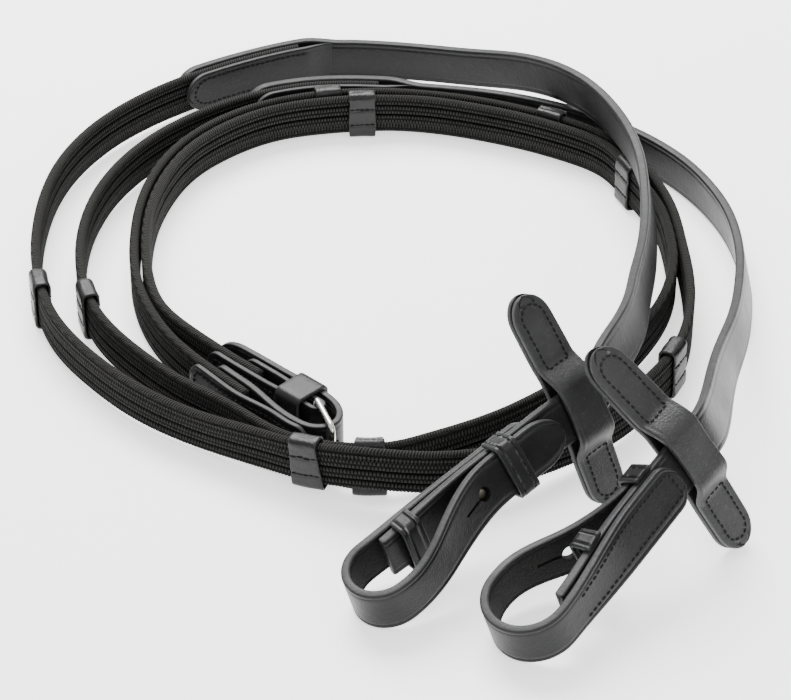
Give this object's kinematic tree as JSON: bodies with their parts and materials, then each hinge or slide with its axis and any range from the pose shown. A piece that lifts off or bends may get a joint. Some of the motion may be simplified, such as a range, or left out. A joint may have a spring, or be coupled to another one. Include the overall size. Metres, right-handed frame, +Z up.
{
  "type": "bridle reins",
  "caption": "Black web-grip bridle reins with leather hook-stud bit ends, rein stops and leather hand stops, joined by a centre buckle and coiled on edge.",
  "frame": {"origin": "centre of the bounding box in plan, on the surface the coil stands on", "axes": "+Z up, away from the surface; -Y towards the two bit ends; +X towards the viewer's right when the bit ends are nearest"},
  "size_m": [0.2605, 0.3661, 0.071],
  "materials": {
    "leather": "satin, fine grain, lighter cut edges",
    "web": "matt ribbed cotton web",
    "buckle": "polished nickel plate",
    "stud": "dull nickel over brass"
  },
  "bodies": {
    "reins": {"billet_1": "leather", "billet_2": "leather", "chape": "leather", "front_strap_1": "leather", "front_strap_2": "leather", "hand_stop_1_1": "leather", "hand_stop_1_2": "leather", "hand_stop_1_3": "leather", "hand_stop_1_4": "leather", "hand_stop_1_5": "leather", "hand_stop_2_1": "leather", "hand_stop_2_2": "leather", "hand_stop_2_3": "leather", "hand_stop_2_4": "leather", "hand_stop_2_5": "leather", "hook_stud_1": "stud", "hook_stud_2": "stud", "keeper_lower_1": "leather", "keeper_lower_2": "leather", "keeper_upper_1": "leather", "keeper_upper_2": "leather", "point_strap": "leather", "point_strap_liner": "leather", "splice_tab_1": "leather", "splice_tab_2": "leather", "web_1": "web", "web_2": "web"},
    "rein_stop_1": {"rein_stop_base_1": "leather", "rein_stop_bridge_1": "leather"},
    "rein_stop_2": {"rein_stop_base_2": "leather", "rein_stop_bridge_2": "leather"},
    "centre_keeper": {"centre_keeper": "leather"},
    "buckle_frame": {"buckle_frame": "buckle"},
    "buckle_tongue": {"buckle_tongue": "buckle"}
  },
  "joints": [
    {"name": "rein_stop_slide_1", "type": "slide", "parent": "reins", "child": "rein_stop_1", "axis": [0.6967, 0.667, 0.264], "range_m": [-0.0022, 0.0007]},
    {"name": "rein_stop_slide_2", "type": "slide", "parent": "reins", "child": "rein_stop_2", "axis": [0.6002, 0.7306, 0.3256], "range_m": [-0.0022, 0.0014]},
    {"name": "centre_keeper_slide", "type": "slide", "parent": "reins", "child": "centre_keeper", "axis": [-0.721, 0.6929, 0.0033], "range_m": [0, 0.012]},
    {"name": "buckle_frame_hinge", "type": "hinge", "parent": "reins", "child": "buckle_frame", "pos_m": [-0.02403, -0.07241, 0.01101], "axis": [0.0024, -0.0023, 1], "range_deg": [-8, 0]},
    {"name": "buckle_tongue_hinge", "type": "hinge", "parent": "reins", "child": "buckle_tongue", "pos_m": [-0.02403, -0.07241, 0.01101], "axis": [0.0024, -0.0023, 1], "range_deg": [0, 2]}
  ]
}
